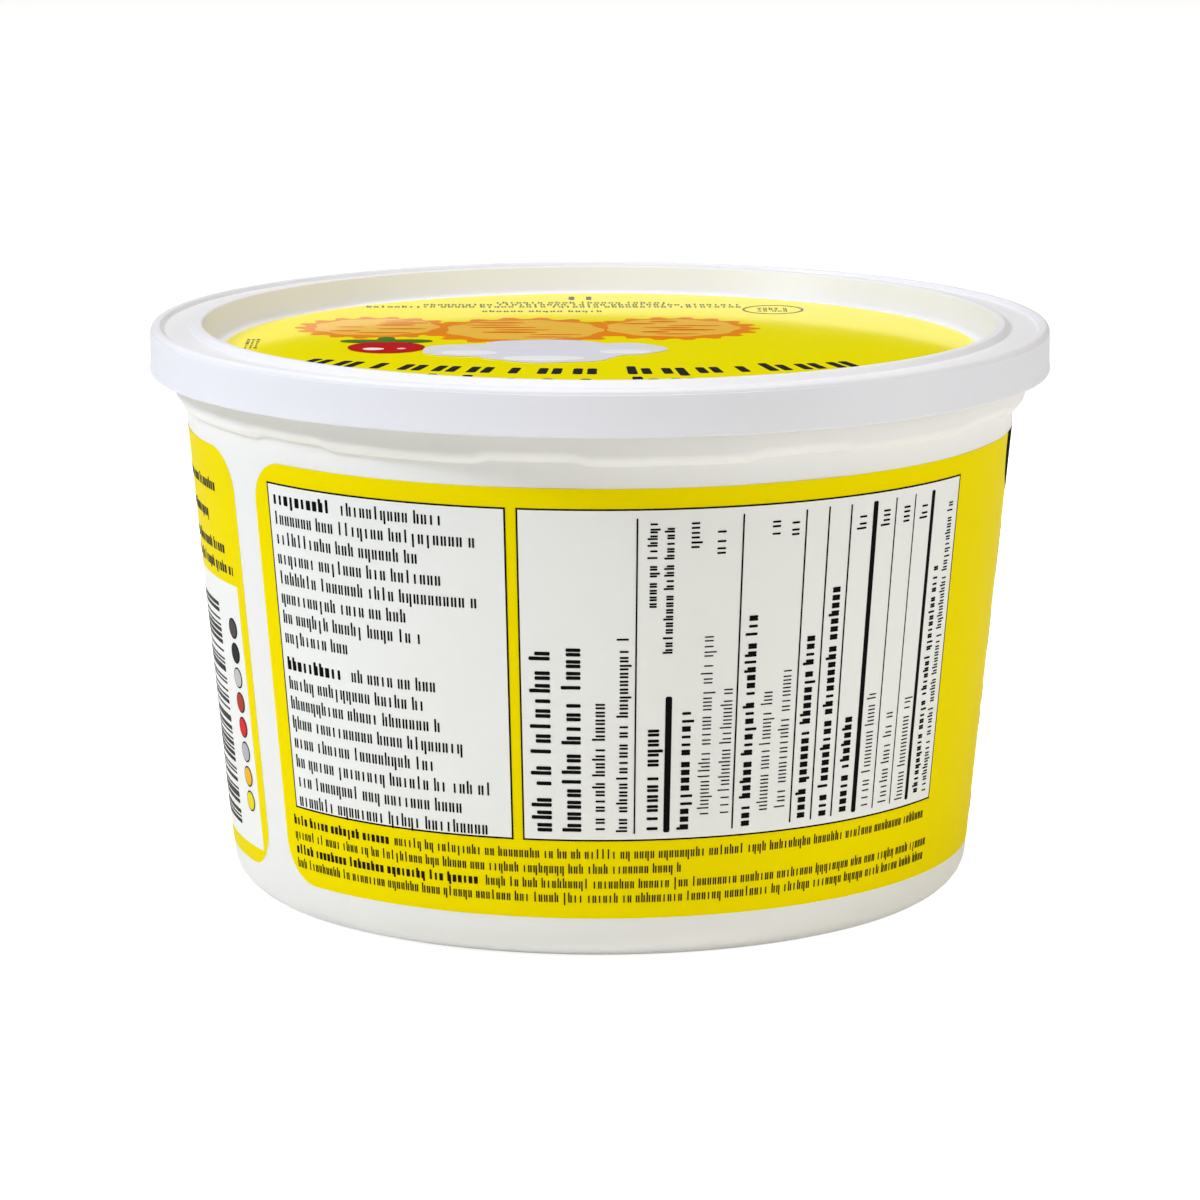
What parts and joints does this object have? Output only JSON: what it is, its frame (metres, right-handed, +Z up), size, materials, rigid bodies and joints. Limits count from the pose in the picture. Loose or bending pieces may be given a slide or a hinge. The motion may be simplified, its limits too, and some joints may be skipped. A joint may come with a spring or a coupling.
{
  "type": "whipped topping tub",
  "caption": "Round tapered plastic tub with rounded base, stacking collar and press-on lid with a sunken panel, printed yellow, for frozen whipped topping.",
  "frame": {"origin": "centre of the ring the tub stands on, at the table", "axes": "+Z up along the tub's axis; the printed side with the two white boxes faces -Y"},
  "size_m": [0.1454, 0.1454, 0.0914],
  "materials": {
    "tub": "white injection-moulded polypropylene, satin, with an in-mould yellow print",
    "lid": "white polyethylene, satin, with a glossy yellow printed panel"
  },
  "bodies": {
    "root": {"tub": "tub", "lid": "lid"}
  },
  "joints": []
}
